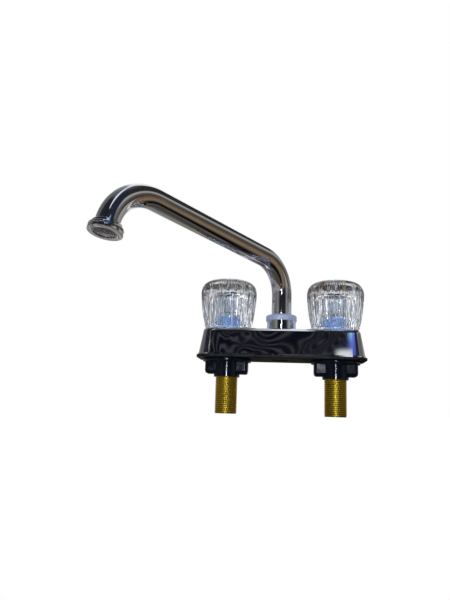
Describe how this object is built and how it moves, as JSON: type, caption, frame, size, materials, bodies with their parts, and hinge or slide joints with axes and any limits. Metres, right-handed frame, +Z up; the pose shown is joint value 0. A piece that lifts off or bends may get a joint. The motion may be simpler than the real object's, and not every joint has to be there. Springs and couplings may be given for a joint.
{
  "type": "utility sink faucet",
  "caption": "Centreset utility faucet with a drafted chrome cover, threaded brass shanks, fluted clear knobs and a bent swing spout with a hose end.",
  "frame": {"origin": "on the deck plane under the base plate, on the swing axis of the spout, midway between the two shanks", "axes": "+Z up out of the deck along the swing axis, +X from the hot shank to the cold shank, +Y away from the user"},
  "size_m": [0.2196, 0.1979, 0.1741],
  "materials": {
    "chrome": "polished plate",
    "brass": "machined",
    "black_plastic": "moulded gloss",
    "clear_acrylic": "clear, fluted",
    "rubber": "moulded",
    "fibre": "vulcanised fibre",
    "nylon": "natural",
    "steel": "plain",
    "hot_index": "plain disc",
    "cold_index": "plain disc"
  },
  "bodies": {
    "root": {"deck_cover": "chrome", "base_plate": "black_plastic", "waterway": "brass", "hot_shank": "brass", "cold_shank": "brass", "hot_mounting_nut": "black_plastic", "cold_mounting_nut": "black_plastic", "hot_seat": "brass", "cold_seat": "brass", "hot_bonnet": "brass", "cold_bonnet": "brass", "hot_bonnet_gasket": "fibre", "cold_bonnet_gasket": "fibre", "hot_cover_nut": "chrome", "cold_cover_nut": "chrome", "spout_washer": "nylon", "spout_nut": "chrome"},
    "spout": {"spout_tube": "chrome", "hose_fitting": "chrome", "spout_end": "brass", "spout_orings": "rubber"},
    "hot_handle": {"hot_knob": "clear_acrylic", "hot_stem": "chrome", "hot_knob_screw": "steel", "hot_button": "hot_index", "hot_stem_clip": "steel", "hot_stem_oring": "rubber"},
    "cold_handle": {"cold_knob": "clear_acrylic", "cold_stem": "chrome", "cold_knob_screw": "steel", "cold_button": "cold_index", "cold_stem_clip": "steel", "cold_stem_oring": "rubber"},
    "hot_plunger_body": {"hot_plunger": "brass", "hot_seat_washer": "rubber", "hot_washer_screw": "steel"},
    "cold_plunger_body": {"cold_plunger": "brass", "cold_seat_washer": "rubber", "cold_washer_screw": "steel"}
  },
  "joints": [
    {"name": "spout_swing", "type": "hinge", "parent": "root", "child": "spout", "pos_m": [0, 0, 0.03], "axis": [0, 0, 1], "continuous": true},
    {"name": "hot_knob_turn", "type": "hinge", "parent": "root", "child": "hot_handle", "pos_m": [-0.0508, 0, 0.05], "axis": [0, 0, 1], "range_deg": [0, 450]},
    {"name": "hot_plunger_lift", "type": "slide", "parent": "root", "child": "hot_plunger_body", "axis": [0, 0, 1], "range_m": [0, 0.00276]},
    {"name": "cold_knob_turn", "type": "hinge", "parent": "root", "child": "cold_handle", "pos_m": [0.0508, 0, 0.05], "axis": [0, 0, 1], "range_deg": [0, 450]},
    {"name": "cold_plunger_lift", "type": "slide", "parent": "root", "child": "cold_plunger_body", "axis": [0, 0, 1], "range_m": [0, 0.00276]}
  ],
  "couplings": [
    {"joint": "hot_plunger_lift", "follows": "hot_knob_turn", "m_per_rad": 0.00035014},
    {"joint": "cold_plunger_lift", "follows": "cold_knob_turn", "m_per_rad": 0.00035014}
  ]
}
